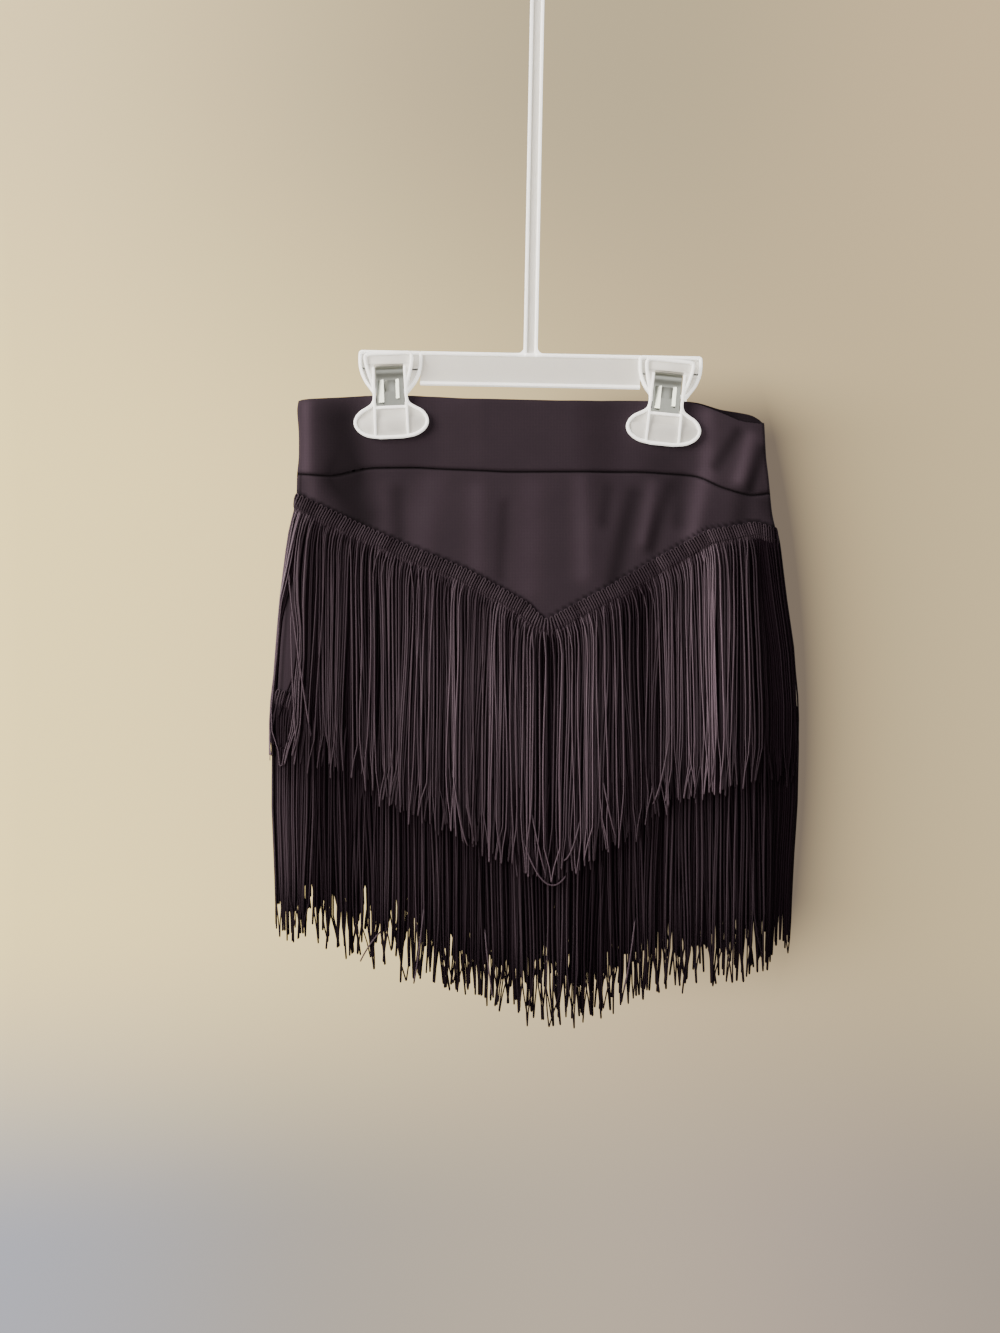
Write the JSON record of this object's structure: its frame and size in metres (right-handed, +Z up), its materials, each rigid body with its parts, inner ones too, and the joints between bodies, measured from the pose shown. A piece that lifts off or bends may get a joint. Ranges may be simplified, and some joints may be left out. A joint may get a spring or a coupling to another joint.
{
  "type": "fringe ballroom skirt on a pinch clip hanger",
  "caption": "Short stretch skirt with a wide waistband and V shaped rows of long chainette fringe, hung flat by the pinch clips of a long stemmed plastic hanger",
  "frame": {"origin": "the inner top of the hook, where a rail carries it", "axes": "+Z up, +X to the right as the skirt is looked at, the front of the skirt towards -Y"},
  "size_m": [0.3874, 0.0337, 0.8324],
  "materials": {
    "jersey": "matte brown black stretch jersey",
    "fringe": "black chainette fringe with a low silk sheen",
    "plastic": "moulded white polypropylene, slightly translucent",
    "spring_steel": "bent steel strip"
  },
  "bodies": {
    "root": {"hanger": "plastic", "clip_lever_left": "plastic", "clip_lever_right": "plastic", "clip_spring_left": "spring_steel", "clip_spring_right": "spring_steel", "waistband_front": "jersey", "waistband_back": "jersey", "skirt_front": "jersey", "skirt_back": "jersey", "fringe_upper_front": "fringe", "fringe_lower_front": "fringe", "fringe_upper_back": "fringe", "fringe_lower_back": "fringe"}
  },
  "joints": []
}
